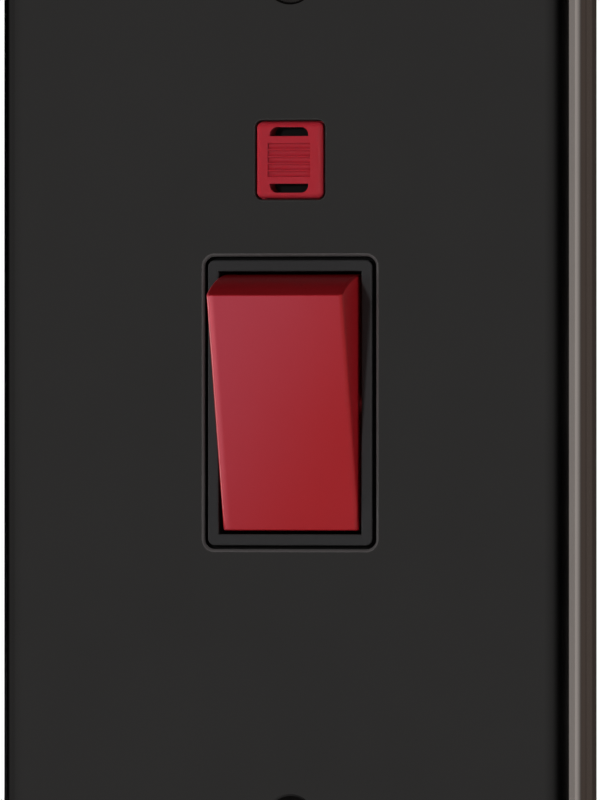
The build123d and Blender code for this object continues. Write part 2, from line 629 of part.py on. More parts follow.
def make_resistor():
    """Resistor between the bulb and the live bar."""
    height = LENS_RISE - LEAD_SPREAD
    body = run_across(Pos(RESISTOR_Y, height) * Circle(RESISTOR_R), -RESISTOR_LENGTH / 2, RESISTOR_LENGTH / 2)
    return fillet(body.edges().filter_by(GeomType.CIRCLE), RESISTOR_EDGE)


def make_lead(*points):
    """Round wire along straight runs with bent corners."""
    path = FilletPolyline(*points, radius=LEAD_BEND)
    return sweep(Plane(origin=path @ 0, z_dir=path % 0) * Circle(LEAD_R), path=path)


def make_link_lead():
    """Lead from the bulb round to the resistor."""
    z = LENS_RISE - LEAD_SPREAD
    start = BULB_LENGTH / 2
    loop = start + LEAD_LOOP
    return make_lead((start, BULB_Y, z), (loop, BULB_Y, z), (loop, RESISTOR_Y, z),
                     (RESISTOR_LENGTH / 2, RESISTOR_Y, z))


def make_live_lead():
    """Lead from the resistor to the live load bar."""
    z = LENS_RISE - LEAD_SPREAD
    return make_lead((-RESISTOR_LENGTH / 2, RESISTOR_Y, z), (-TERMINAL_X, RESISTOR_Y, z),
                     (-TERMINAL_X, BAR_FRONT, z))


def make_neutral_lead():
    """Lead from the bulb to the neutral load bar."""
    z = LENS_RISE + LEAD_SPREAD
    return make_lead((BULB_LENGTH / 2, BULB_Y, z), (TERMINAL_X, BULB_Y, z), (TERMINAL_X, BAR_FRONT, z))


# Earth connection below the insert
EARTH_WIDTH = 2 * (EARTH_TUNNEL_R + EARTH_WALL)
EARTH_Z = -FLANGE_HEIGHT / 2 - EARTH_GAP - EARTH_LENGTH / 2
EARTH_LEG_X = EARTH_X + EARTH_PAD / 2 - EARTH_SHEET
EARTH_FRONT = WALL_Y + EARTH_STAND_OFF
EARTH_BACK = EARTH_FRONT + EARTH_WIDTH
EARTH_TUNNEL_X = EARTH_LEG_X - EARTH_WIDTH / 2
EARTH_TUNNEL_Y = EARTH_FRONT + EARTH_WIDTH / 2


def make_earth_bracket():
    """Bent strip welded to the inside of the plate, with a leg that carries the earth terminal."""
    outer_x = EARTH_LEG_X + EARTH_SHEET
    pad_x = outer_x - EARTH_PAD
    outline = Polyline((pad_x, INNER_Y), (outer_x, INNER_Y), (outer_x, EARTH_BACK), (EARTH_LEG_X, EARTH_BACK),
                       (EARTH_LEG_X, INNER_Y + EARTH_SHEET), (pad_x, INNER_Y + EARTH_SHEET), close=True)
    bracket = extrude(Plane.XY.offset(-EARTH_LENGTH / 2) * make_face(outline), amount=EARTH_LENGTH)
    near_leg = (EARTH_LEG_X - EARTH_SHEET / 2, EARTH_LEG_X + EARTH_SHEET / 2)
    inner_bend = bracket.edges().filter_by(Axis.Z).filter_by_position(Axis.X, *near_leg)
    bracket = fillet(inner_bend.sort_by(Axis.Y)[0], EARTH_BEND)
    outer_bend = bracket.edges().filter_by(Axis.Z).sort_by(Axis.X)[-2:].sort_by(Axis.Y)[0]
    bracket = fillet(outer_bend, EARTH_BEND + EARTH_SHEET)
    return Pos(0, 0, EARTH_Z) * bracket


def make_earth_terminal():
    """Brass tunnel block on the bracket's leg."""
    place = Pos(EARTH_TUNNEL_X, EARTH_Z)
    block = run_back(place * Rectangle(EARTH_WIDTH, EARTH_LENGTH), EARTH_FRONT, EARTH_BACK)
    ends = (EARTH_Z - EARTH_LENGTH / 2, EARTH_Z + EARTH_LENGTH / 2)
    block -= upright(EARTH_TUNNEL_X, EARTH_TUNNEL_Y, EARTH_TUNNEL_R, *ends)
    return block - rod(EARTH_TUNNEL_X, EARTH_Z, EARTH_SCREW_R + THREAD_CLEARANCE, EARTH_TUNNEL_Y, EARTH_BACK)


def make_earth_screw():
    """Earth terminal screw, backed off clear of its tunnel."""
    front = EARTH_TUNNEL_Y + EARTH_TUNNEL_R + THREAD_CLEARANCE
    screw = slotted_screw(EARTH_SCREW_R, front, EARTH_SCREW_LENGTH, TERMINAL_SLOT, TERMINAL_SLOT_DEPTH)
    return Pos(EARTH_TUNNEL_X, 0, EARTH_Z) * screw


def write(name, piece):
    """Write one piece to its own file."""
    export_step(piece, os.path.join("parts", name + ".step"))


os.makedirs("parts", exist_ok=True)
write("front_plate", make_front_plate())
write("fixing_screws", make_fixing_screws())
write("stud_washers", IN_PLATE * make_stud_washers())
write("insert_moulding", IN_PLATE * make_insert())
write("rocker", IN_PLATE * make_rocker())
write("switch_base", IN_PLATE * make_base())
write("base_screws", IN_PLATE * make_base_screws())
write("terminal_screws", IN_PLATE * make_terminal_screws())
for side, x in (("left", -PLUNGER_X), ("right", PLUNGER_X)):
    write(side + "_plunger", IN_PLATE * make_plunger(x))
    write(side + "_spring", IN_PLATE * make_spring(x))
for pole, side in (("live", -1), ("neutral", 1)):
    pole_x = side * PLUNGER_X
    write(pole + "_arm", IN_PLATE * make_arm(pole_x))
    write(pole + "_arm_tip", IN_PLATE * make_arm_tip(pole_x))
    write(pole + "_fixed_tip", IN_PLATE * make_fixed_tip(pole_x))
    write(pole + "_supply_bar", IN_PLATE * make_supply_bar(pole_x))
    write(pole + "_load_bar", IN_PLATE * make_load_bar(pole_x))
    write(pole + "_supply_terminal", IN_PLATE * make_terminal(side * TERMINAL_X, -1))
    write(pole + "_load_terminal", IN_PLATE * make_terminal(side * TERMINAL_X, 1))
write("neon_lens", IN_PLATE * make_lens())
write("neon_bulb", IN_PLATE * make_bulb())
write("neon_resistor", IN_PLATE * make_resistor())
write("neon_link_lead", IN_PLATE * make_link_lead())
write("neon_live_lead", IN_PLATE * make_live_lead())
write("neon_neutral_lead", IN_PLATE * make_neutral_lead())
write("earth_bracket", IN_PLATE * make_earth_bracket())
write("earth_terminal", IN_PLATE * make_earth_terminal())
write("earth_screw", IN_PLATE * make_earth_screw())
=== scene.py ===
import json
import math
from typing import NamedTuple

import bmesh
import bpy
from mathutils import Matrix, Vector


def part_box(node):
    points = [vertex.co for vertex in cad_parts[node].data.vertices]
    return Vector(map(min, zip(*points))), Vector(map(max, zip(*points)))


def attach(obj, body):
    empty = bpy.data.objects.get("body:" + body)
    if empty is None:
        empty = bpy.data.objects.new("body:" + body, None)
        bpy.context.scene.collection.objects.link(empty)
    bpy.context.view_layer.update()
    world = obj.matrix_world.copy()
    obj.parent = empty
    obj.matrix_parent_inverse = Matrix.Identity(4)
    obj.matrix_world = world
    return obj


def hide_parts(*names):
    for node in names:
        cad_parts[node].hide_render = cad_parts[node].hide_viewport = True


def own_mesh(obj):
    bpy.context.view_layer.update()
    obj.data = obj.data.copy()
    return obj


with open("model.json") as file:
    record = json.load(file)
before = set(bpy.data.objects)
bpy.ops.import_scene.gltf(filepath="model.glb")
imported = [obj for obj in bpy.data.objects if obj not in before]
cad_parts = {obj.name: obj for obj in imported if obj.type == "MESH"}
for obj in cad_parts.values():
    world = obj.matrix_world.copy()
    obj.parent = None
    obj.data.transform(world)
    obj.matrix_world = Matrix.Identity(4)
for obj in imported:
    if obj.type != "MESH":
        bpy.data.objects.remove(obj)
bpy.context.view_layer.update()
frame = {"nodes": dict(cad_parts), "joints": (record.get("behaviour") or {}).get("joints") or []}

# Looks of a cooker switch: the finish of every piece, threads on the fixing screws, the plungers'
# springs, and the studio that shows it. Metres, X to the right, Z up, the plate's front facing -Y.

bl_info = {
    "name": "Cooker Switch",
    "version": (1, 0, 0),
    "blender": (4, 5, 0),
    "location": "3D View > Sidebar > Cooker Switch",
    "description": "Finishes the pieces of a cooker switch and sets up a studio around it",
    "category": "Object",
}

MM = 0.001
PLATE_LOW, PLATE_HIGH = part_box("front_plate")
SCREWS_LOW, SCREWS_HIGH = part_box("fixing_screws")


class Opening(NamedTuple):
    """Rounded rectangular opening in the plate: its middle's height, its sizes and rounded edge."""

    rise: float
    half_width: float
    half_height: float
    corner: float
    edge: float


ROCKER_OPENING = Opening(-0.5 * MM, 12.8 * MM, 20.88 * MM, 1.4 * MM, 0.45 * MM)
LENS_OPENING = Opening(34.2 * MM, 5.15 * MM, 5.6 * MM, 1.05 * MM, 0.25 * MM)

# Distances from an opening where the band on its edge ends and is full, as shares of the edge
BAND_END, BAND_FULL = 1.1, 0.8

# Plating of the plate: clouds of tone and polish, and the ripple of its face
PLATE_CLOUD, PLATE_SPREAD, PLATE_CLOUD_POLISH = 14 * MM, 0.05, 0.03
PLATE_RIPPLE, PLATE_RIPPLE_DEPTH = 0.9 * MM, 0.0006 * MM

# Wear and painted highlight on the edge around the rocker, lighter than the plating: how far behind
# the front it ends and is full, as shares of the edge, the size of its patches, its least and how
# much more the patches have, and how dull it is
WEAR_AND_HIGHLIGHT_END, WEAR_AND_HIGHLIGHT_FULL = 0.85, 0.55
WEAR_PATCH, WEAR_LEAST, WEAR_MORE = 1.2 * MM, 0.8, 0.4
WEAR_DULL = 0.3

# Painted shade on the edge around the lens, a dark band that hides its reflection: its tone against
# the worn edge, and how dull it is
LENS_EDGE_SHADE_TONE, LENS_EDGE_SHADE_DULL = 0.2, 0.5

# Painted shade along the plate's rear edge: how far before the rear it starts and is full, and its
# tone
REAR_SHADE_START, REAR_SHADE_FULL, REAR_SHADE_TONE = 2.6 * MM, 1.8 * MM, 0.1

# Countersinks: distance from the plate's middle, radius, soft edge, and how dull they are
COUNTERSINK_REACH, COUNTERSINK_RADIUS = 60.3 * MM, 3.9 * MM
COUNTERSINK_SOFT, COUNTERSINK_DULL = 0.1 * MM, 0.4

# Metals: grain, its depth, and how far clouds and grain change the polish
METAL_GRAIN, METAL_GRAIN_DEPTH = 0.12 * MM, 0.002 * MM
METAL_CLOUD_POLISH, METAL_GRAIN_POLISH = 0.08, 0.06

# Mouldings: clouds of tone, detail of the grain and how far it changes the polish
MOULDED_CLOUD, MOULDED_SPREAD = 9 * MM, 0.05
MOULDED_GRAIN_DETAIL, MOULDED_GRAIN_POLISH = 3.0, 0.12

# Insert: grain, how far behind the plate's front the painted shade of its gap starts and is full,
# the tone and dullness there, and its sheen
INSERT_GRAIN, INSERT_GRAIN_DEPTH = 0.3 * MM, 0.0008 * MM
GAP_START, GAP_FULL, GAP_SHADE_TONE, GAP_DULL = 0.05 * MM, 0.6 * MM, 0.2, 0.3
INSERT_SHEEN = 0.25

# Rocker: half the width of its face, the direction that the face looks in with the switch on, how
# closely a surface looks that way where the face starts and is full, and its grain
ROCKER_HALF_WIDTH = 10.2 * MM
ROCKER_TILT = math.radians(13.4)
ROCKER_FRONT = (0.0, -math.cos(ROCKER_TILT), -math.sin(ROCKER_TILT))
FACE_START, FACE_FULL = 0.85, 0.98
ROCKER_GRAIN, ROCKER_GRAIN_DEPTH = 0.25 * MM, 0.0025 * MM

# Painted sheen on the rocker's face: its lean to the top against the left, where it starts and is
# full, the size and reach of its drift, and how dull it is
SHEEN_LEAN = 0.6
SHEEN_START, SHEEN_FULL = -16 * MM, 20 * MM
SHEEN_CLOUD, SHEEN_DRIFT = 8 * MM, 4 * MM
SHEEN_DULL = 0.06

# Painted shade on the rocker's upper end: rise of its normal where its darker red starts and is
# full, and its tone
TOP_SHADE_START, TOP_SHADE_FULL, TOP_SHADE_TONE = 0.1, 0.5, 0.52

# Painted highlight on the rocker's left edge: sideways part of its normal where it starts, is full,
# starts to fall and ends, its strength, and how far from the edge the highlight on the face starts
# and is full
HIGHLIGHT_START, HIGHLIGHT_FULL, HIGHLIGHT_FALL, HIGHLIGHT_END = -0.04, -0.3, -0.75, -0.95
EDGE_HIGHLIGHT = 0.3
FACE_HIGHLIGHT_START, FACE_HIGHLIGHT_FULL = 1.4 * MM, 0.6 * MM

# Lens: how far it stands in front of the plate, how far behind its front the painted shade in the
# grooves starts and is full, its tone, clouds, polish, and the light that it scatters within
LENS_PROUD = 0.5 * MM
GROOVE_START, GROOVE_FULL, GROOVE_SHADE_TONE = 0.04 * MM, 0.3 * MM, 0.95
LENS_CLOUD, LENS_SPREAD = 2.5 * MM, 0.1
LENS_ROUGHNESS, LENS_CLOUD_POLISH, LENS_SHEEN = 0.36, 0.08, 0.3
LENS_SCATTER, LENS_SCATTER_REACH = 0.3, 1.2 * MM
LENS_SCATTER_COLOUR = (1.0, 0.15, 0.15)

# Moulded lens and glass bulb bend light alike
LENS_IOR = GLASS_IOR = 1.5

# Bulb: where along X its sealed end starts and is full, and the glass there and elsewhere
SEAL_START, SEAL_FULL = 4.5 * MM, 7.2 * MM
CLEAR_GLASS = (0.95, 0.93, 0.90, 1.0)
SEALED_GLASS = (0.35, 0.33, 0.31, 1.0)
GLASS_ROUGHNESS, SEAL_DULL, GLASS_CLEARNESS = 0.04, 0.2, 0.85

# Resistor: lacquer, and the middle and colour of each band with the half width where bands end and
# are full
LACQUER_CLOUD, LACQUER_SPREAD, LACQUER_ROUGHNESS = 0.8 * MM, 0.08, 0.35
LACQUER_RIPPLE, LACQUER_RIPPLE_DEPTH = 0.3 * MM, 0.01 * MM
RESISTOR_BANDS = (
    (-2.1 * MM, (0.30, 0.08, 0.02, 1.0)),
    (-1.0 * MM, (0.02, 0.02, 0.02, 1.0)),
    (0.1 * MM, (0.75, 0.52, 0.03, 1.0)),
    (1.9 * MM, (0.55, 0.38, 0.10, 1.0)),
)
RING_END, RING_FULL = 0.34 * MM, 0.28 * MM

# Fixing screws: points around, rings to the domed head and to each turn of the thread, steepness
# of the flanks, which leaves the crests flat, length of the slot's cutter in head radii, and the
# angle from which edges are sharp
SCREW_POINTS = 36
DOME_RINGS = 8
TURN_RINGS = 8
FLANK_STEEPNESS = 1.25
SLOT_LENGTH = 3
SCREW_SHARP = math.radians(35.0)

# Springs: points around the wire, rings to each turn of it, and the angle of their sharp edges
WIRE_POINTS = 12
COIL_RINGS = 32
SPRING_SHARP = math.radians(50.0)

WHITE = (1.0, 1.0, 1.0, 1.0)
NEUTRAL = (1.0, 0.99, 0.98)
WARM = (1.0, 0.91, 0.855)
BROWN = (1.0, 0.78, 0.66)


class Card(NamedTuple):
    """Soft-edged patch of the studio: where it is and how large in degrees, how bright against
    white, and its colour."""

    azimuth: float
    elevation: float
    half_width: float
    half_height: float
    soft_across: float
    soft_upward: float
    level: float = 1.0
    colour: tuple = NEUTRAL


# Patches around the part, azimuths to the right of its front; a later one lies over earlier ones
STUDIO_CARDS = (
    Card(12.0, 0.0, 40.0, 6.0, 40.0, 3.0, 1.7, WARM),
    Card(-70.0, 0.0, 77.5, 20.0, 3.5, 6.0, 0.0),
    Card(-42.0, 0.0, 12.0, 20.0, 10.0, 8.0, 0.1),
    Card(-24.0, 0.0, 16.5, 20.0, 6.5, 8.0, 0.15),
    Card(-103.0, -12.0, 24.0, 7.0, 4.0, 3.0, 6.0),
    Card(110.0, 0.0, 40.0, 25.0, 12.0, 6.0, 0.3, BROWN),
    Card(160.0, 0.0, 25.0, 25.0, 10.0, 6.0, 0.17, BROWN),
)

# White patch behind the part that reflections and glass show
BACKDROP = Card(180.0, 0.0, 8.0, 20.0, 3.0, 3.0)

# Elevations between which the studio turns into the floor, and how far behind the part, as the
# depth of a direction, its rear starts and is full
FLOOR_START, FLOOR_FULL = math.radians(-12.0), math.radians(-20.0)
REAR_START, REAR_FULL = 0.1, 0.3


class Lamp(NamedTuple):
    """Square lamp: azimuth and elevation in degrees, distance and size in metres, the light that it
    gives a surface that faces it against white, and whether it shows in reflections."""

    name: str
    azimuth: float
    elevation: float
    distance: float
    size: float
    light: float
    mirrored: bool = False


LAMPS = (
    Lamp("key", -15.0, 8.5, 1.5, 0.12, 0.82),
    Lamp("left_fill", -75.0, 5.0, 1.5, 0.5, 0.5),
    Lamp("right_fill", 86.0, 5.0, 1.5, 0.3, 0.4),
    Lamp("rear", 142.0, 35.0, 1.7, 0.7, 0.45, mirrored=True),
)

# Floor: radius, points around it, clouds of tone, roughness, how white it is to the camera under
# the part, and the distances between which it turns all white
FLOOR_RADIUS, FLOOR_POINTS = 3.0, 64
FLOOR_CLOUD, FLOOR_SPREAD, FLOOR_ROUGHNESS = 0.2, 0.015, 0.9
FLOOR_WHITENESS, FADE_START, FADE_END = 0.5, 0.12, 0.4

# Camera: width of its sensor in millimetres, and the nearest and farthest that it sees as shares of
# its distance
SENSOR_WIDTH = 36.0
CLIP_NEAR, CLIP_FAR = 0.01, 4.0


class Field:
    """An output socket that takes part in Python arithmetic; each operation adds a Math node."""

    def __init__(self, finish, socket):
        self.finish = finish
        self.socket = socket

    def out(self, name):
        """Another output of the same node."""
        return Field(self.finish, self.socket.node.outputs[name])

    def maths(self, operation, *values):
        """Math node on the given values."""
        return self.finish.node("ShaderNodeMath", {"operation": operation}, dict(enumerate(values)))

    def __add__(self, other):
        return self.maths("ADD", self, other)

    def __radd__(self, other):
        return self.maths("ADD", other, self)

    def __sub__(self, other):
        return self.maths("SUBTRACT", self, other)

    def __rsub__(self, other):
        return self.maths("SUBTRACT", other, self)

    def __mul__(self, other):
        return self.maths("MULTIPLY", self, other)

    def __abs__(self):
        return self.maths("ABSOLUTE", self)

    def most(self, other):
        """The larger of two values."""
        return self.maths("MAXIMUM", self, other)

    def root(self):
        """Square root."""
        return self.maths("SQRT", self)

    def swing(self, width):
        """A value from 0 to 1 turned into one of the given width around 0."""
        return (self - 0.5) * width

    def ramp(self, low, high):
        """0 below low, 1 above high, smooth between them; low may be the larger one."""
        limits = {"Value": self, "From Min": low, "From Max": high}
        return self.finish.node("ShaderNodeMapRange", {"interpolation_type": "SMOOTHSTEP"}, limits)


class Finish:
    """Node tree of a material or of the world, built by expressions."""

    def __init__(self, owner):
        owner.use_nodes = True
        self.tree = owner.node_tree
        self.tree.nodes.clear()

    def node(self, kind, settings=None, inputs=None, output=0):
        """Add a node: its settings first, then the values or links of its sockets."""
        made = self.tree.nodes.new(kind)
        for name, value in (settings or {}).items():
            setattr(made, name, value)
        for key, value in (inputs or {}).items():
            if isinstance(value, Field):
                self.tree.links.new(value.socket, made.inputs[key])
            else:
                made.inputs[key].default_value = value
        return Field(self, made.outputs[output] if made.outputs else None)

    def place(self):
        """Place on the piece in the shared frame, in metres."""
        return self.node("ShaderNodeTexCoord").out("Object")

    def facing(self):
        """Direction that the surface looks in."""
        return self.node("ShaderNodeTexCoord").out("Normal")

    def vector(self, operation, *values):
        """Number from a Vector Math node on the given vectors."""
        inputs = dict(enumerate(values))
        return self.node("ShaderNodeVectorMath", {"operation": operation}, inputs, "Value")

    def noise(self, place, size, detail=2.0):
        """Soft noise from 0 to 1 with features of the given size in metres."""
        values = {"Vector": place, "Scale": 1 / size, "Detail": detail}
        return self.node("ShaderNodeTexNoise", None, values)

    def mix(self, factor, first, second):
        """Colour between two colours."""
        values = {0: factor, 6: first, 7: second}
        return self.node("ShaderNodeMix", {"data_type": "RGBA"}, values, 2)

    def clouded(self, cloud, colour, spread):
        """A colour that a cloud from 0 to 1 makes darker and lighter by a share of it."""
        return self.mix(cloud, tone(colour, 1 - spread), tone(colour, 1 + spread))

    def bump(self, height, depth):
        """Normal from a height of 0 to 1 that stands for the given depth in metres."""
        values = {"Height": height, "Distance": depth, "Strength": 1.0}
        return self.node("ShaderNodeBump", None, values)

    def axes(self, vector):
        """A vector's X, Y and Z as outputs of one node."""
        return self.node("ShaderNodeSeparateXYZ", None, {0: vector})

    def either(self, factor, first, second):
        """Surface between two surfaces."""
        return self.node("ShaderNodeMixShader", None, {0: factor, 1: first, 2: second})

    def surface(self, **sockets):
        """Principled surface from socket values."""
        values = {name.replace("_", " "): value for name, value in sockets.items()}
        return self.node("ShaderNodeBsdfPrincipled", None, values)

    def output(self, surface, kind="Material"):
        """Output of the material or of the world."""
        self.node(f"ShaderNodeOutput{kind}", None, {"Surface": surface})

    def shade(self, **sockets):
        """Principled surface from socket values, then the material's output."""
        self.output(self.surface(**sockets))


def tone(colour, level=1.0):
    """A colour made lighter or darker, as RGBA."""
    return (colour[0] * level, colour[1] * level, colour[2] * level, 1.0)


def new_finish(name):
    """A fresh material and the Finish that fills its node tree."""
    material = bpy.data.materials.new(name)
    return material, Finish(material)


def colour_setting(name, description, default):
    """A colour that a user may change."""
    return bpy.props.FloatVectorProperty(
        name=name, description=description, default=default, size=3, min=0.0, max=1.0,
        subtype="COLOR",
    )


def share_setting(name, description, default):
    """A number from 0 to 1 that a user may change."""
    return bpy.props.FloatProperty(
        name=name, description=description, default=default, min=0.0, max=1.0, subtype="FACTOR"
    )


def length_setting(name, description, default):
    """A length in metres that a user may change."""
    return bpy.props.FloatProperty(
        name=name, description=description, default=default, min=0.0,
        subtype="DISTANCE", unit="LENGTH",
    )


def angle_setting(name, description, default):
    """An angle, given in degrees, that a user may change."""
    return bpy.props.FloatProperty(
        name=name, description=description, default=math.radians(default),
        subtype="ANGLE", unit="ROTATION",
    )


class CookerSwitchFinishes(bpy.types.PropertyGroup):
    """Colours and polish of the pieces."""

    plate_colour: colour_setting("Plate", "Black nickel of the front plate", (0.170, 0.166, 0.164))
    plate_roughness: share_setting("Plate Roughness", "Polish of the nickel", 0.1)
    # Worn edge around the rocker, which also carries a painted highlight; a share of it is the
    # painted shade around the lens
    edge_colour: colour_setting("Cut-Out Edge", "Worn edge at the rocker", (0.047, 0.043, 0.044))
    insert_colour: colour_setting("Insert", "Black insert moulding", (0.021, 0.021, 0.022))
    insert_roughness: share_setting("Insert Roughness", "Polish of the insert moulding", 0.45)
    rocker_colour: colour_setting("Rocker", "Red moulding of the rocker", (0.27, 0.0075, 0.0115))
    # Painted sheen on the upper left of the rocker's face
    painted_sheen_colour: colour_setting("Rocker Haze", "Handled end of its face", (0.295, 0.026, 0.042))
    # Painted highlight on the rocker's left edge
    highlight_colour: colour_setting("Rocker Edge", "Its rubbed left edge", (0.42, 0.062, 0.083))
    rocker_roughness: share_setting("Rocker Roughness", "Polish of the rocker", 0.3)
    lens_colour: colour_setting("Lens", "Red moulding of the neon lens", (0.27, 0.0135, 0.0225))
    base_colour: colour_setting("Base", "Moulded switch base", (0.030, 0.030, 0.032))
    nylon_colour: colour_setting("Nylon", "Plungers", (0.72, 0.70, 0.62))
    steel_colour: colour_setting("Steel", "Zinc plated steel pieces", (0.62, 0.62, 0.60))
    screw_colour: colour_setting("Fixing Screws", "Dark plated fixing screws", (0.10, 0.094, 0.092))
    spring_colour: colour_setting("Spring", "Drawn spring wire", (0.48, 0.48, 0.49))
    copper_colour: colour_setting("Copper", "Contact arms and bars", (0.80, 0.36, 0.22))
    silver_colour: colour_setting("Silver", "Contact tips", (0.86, 0.85, 0.82))
    brass_colour: colour_setting("Brass", "Terminal blocks", (0.78, 0.55, 0.24))
    resistor_colour: colour_setting("Resistor", "Body of the resistor", (0.55, 0.40, 0.24))
    lead_colour: colour_setting("Leads", "Tinned wire of the lamp", (0.70, 0.69, 0.66))


class CookerSwitchSizes(bpy.types.PropertyGroup):
    """Sizes of the pieces made here: the threaded fixing screws and the plungers' springs."""

    head_radius: length_setting("Head Radius", "Radius of the countersunk head", 3.6 * MM)
    head_rise: length_setting("Head Rise", "Height of the head's dome", 0.7 * MM)
    neck_radius: length_setting("Neck Radius", "Radius of the plain neck under the head", 1.55 * MM)
    thread_radius: length_setting("Thread Radius", "Radius over the thread's crests", 1.75 * MM)
    thread_start: length_setting("Thread Start", "Its start behind the plate's front", 2.95 * MM)
    slot_width: length_setting("Slot Width", "Width of the driver slot", 1.0 * MM)
    slot_depth: length_setting("Slot Depth", "Depth of the slot at the head's middle", 1.3 * MM)
    slot_angle: angle_setting("Slot Angle", "How far the driver slot leans", 24.0)
    thread_pitch: length_setting("Thread Pitch", "Pitch of the fixing screws' thread", 0.6 * MM)
    thread_depth: length_setting("Thread Depth", "Depth of the fixing screws' thread", 0.34 * MM)
    coil_radius: length_setting("Coil Radius", "Springs' radius to the wire's middle", 1.55 * MM)
    wire_radius: length_setting("Wire Radius", "Radius of the springs' wire", 0.25 * MM)
    coil_seat: length_setting("Spring Seat", "Room at each end of a spring", 0.05 * MM)
    coil_turns: bpy.props.IntProperty(
        name="Coil Turns", description="Turns of a spring, the first and last closed",
        default=5, min=3,
    )


class CookerSwitchStudio(bpy.types.PropertyGroup):
    """Camera and light of the studio."""

    azimuth: angle_setting("Azimuth", "How far the camera stands to the right of the front", 17.7)
    lens: bpy.props.FloatProperty(
        name="Lens", description="Focal length in millimetres", default=1000.0, min=1.0,
        subtype="DISTANCE_CAMERA",
    )
    frame_height: length_setting("Frame Height", "Height that the picture takes in", 800 / 7.0 * MM)
    aim: bpy.props.FloatVectorProperty(
        name="Aim", description="Point in the middle of the picture", size=3,
        default=(1.5 * MM, PLATE_LOW.y, -0.1 * MM), subtype="TRANSLATION", unit="LENGTH",
    )
    floor_colour: colour_setting("Floor", "Pale floor", (0.80, 0.80, 0.80))
    front_level: share_setting("Front Level", "Light in front, apart from the cards", 0.015)
    rear_level: share_setting("Rear Level", "Light of the studio behind", 0.5)
    floor_level: share_setting("Floor Level", "How bright the floor is in reflections", 0.2)


def finish_node(name, material):
    """Give a carried-over piece its finish."""
    slots = frame["nodes"][name].material_slots
    if not slots:
        raise RuntimeError(f"{name} has no material slot")
    for slot in slots:
        slot.material = material


def metal_finish(name, colour, roughness, cloud_size=6 * MM, spread=0.10):
    """Metal with soft clouds of tone and polish and a fine grain."""
    material, finish = new_finish(name)
    place = finish.place()
    cloud = finish.noise(place, cloud_size)
    grain = finish.noise(place, METAL_GRAIN)
    finish.shade(
        Base_Color=finish.clouded(cloud, colour, spread),
        Metallic=1.0,
        Roughness=roughness + cloud.swing(METAL_CLOUD_POLISH) + grain.swing(METAL_GRAIN_POLISH),
        Normal=finish.bump(grain, METAL_GRAIN_DEPTH),
    )
    return material


def moulded_finish(name, colour, roughness, grain_size=0.15 * MM, grain_depth=0.006 * MM):
    """Moulded plastic with a fine spark-eroded grain."""
    material, finish = new_finish(name)
    place = finish.place()
    cloud = finish.noise(place, MOULDED_CLOUD)
    grain = finish.noise(place, grain_size, MOULDED_GRAIN_DETAIL)
    finish.shade(
        Base_Color=finish.clouded(cloud, colour, MOULDED_SPREAD),
        Roughness=roughness + grain.swing(MOULDED_GRAIN_POLISH),
        Normal=finish.bump(grain, grain_depth),
    )
    return material


def insert_finish(colour, roughness):
    """Black moulding around the rocker, with painted shade down in the gap between its rim and
    the plate.
    """
    material, finish = new_finish("insert_black")
    place = finish.place()
    cloud = finish.noise(place, MOULDED_CLOUD)
    grain = finish.noise(place, INSERT_GRAIN, MOULDED_GRAIN_DETAIL)
    # Painted shade: darker and duller down in the gap behind the plate's front
    sunk = finish.axes(place).out("Y").ramp(PLATE_LOW.y + GAP_START, PLATE_LOW.y + GAP_FULL)
    moulding = finish.clouded(cloud, colour, MOULDED_SPREAD)
    finish.shade(
        Base_Color=finish.mix(sunk, moulding, tone(colour, GAP_SHADE_TONE)),
        Specular_IOR_Level=INSERT_SHEEN,
        Roughness=roughness + grain.swing(MOULDED_GRAIN_POLISH) + sunk * GAP_DULL,
        Normal=finish.bump(grain, INSERT_GRAIN_DEPTH),
    )
    return material


def rocker_finish(colour, painted_sheen_colour, highlight_colour, roughness):
    """Red moulding with painted shade on its upper end, a painted highlight on its left edge and a
    painted sheen that fades to the lower right."""
    material, finish = new_finish("rocker_red")
    place = finish.place()
    axes = finish.axes(place)
    grain = finish.noise(place, ROCKER_GRAIN, MOULDED_GRAIN_DETAIL)
    facing = finish.facing()
    turned = finish.axes(facing)

    # Painted sheen: lighter and duller towards the upper left of the face, fading to the lower
    # right
    drift = finish.noise(place, SHEEN_CLOUD).swing(SHEEN_DRIFT)
    fall = axes.out("Z") * SHEEN_LEAN - axes.out("X") + drift
    on_face = finish.vector("DOT_PRODUCT", facing, ROCKER_FRONT).ramp(FACE_START, FACE_FULL)
    painted_sheen = fall.ramp(SHEEN_START, SHEEN_FULL) * on_face

    # Painted highlight along the left edge and on the face beside it
    leftward = turned.out("X")
    edge = leftward.ramp(HIGHLIGHT_START, HIGHLIGHT_FULL) * leftward.ramp(HIGHLIGHT_END, HIGHLIGHT_FALL)
    left = -ROCKER_HALF_WIDTH
    beside = axes.out("X").ramp(left + FACE_HIGHLIGHT_START, left + FACE_HIGHLIGHT_FULL)
    painted_highlight = (edge * EDGE_HIGHLIGHT).most(beside * painted_sheen)

    # Painted shade: a darker red where the upper end faces up
    shaded_top = turned.out("Z").ramp(TOP_SHADE_START, TOP_SHADE_FULL)
    moulding = finish.mix(shaded_top, tone(colour), tone(colour, TOP_SHADE_TONE))
    sheened = finish.mix(painted_sheen, moulding, tone(painted_sheen_colour))
    finish.shade(
        Base_Color=finish.mix(painted_highlight, sheened, tone(highlight_colour)),
        Roughness=roughness + grain.swing(MOULDED_GRAIN_POLISH) + painted_sheen * SHEEN_DULL,
        Normal=finish.bump(grain, ROCKER_GRAIN_DEPTH),
    )
    return material


def edge_band(axes, opening):
    """1 on the rounded front edge of an opening in the plate, 0 away from it."""
    beside = (abs(axes.out("X")) - (opening.half_width - opening.corner)).most(0.0)
    above = (abs(axes.out("Z") - opening.rise) - (opening.half_height - opening.corner)).most(0.0)
    reach = (beside * beside + above * above).root() - opening.corner
    return reach.ramp(BAND_END * opening.edge, BAND_FULL * opening.edge)


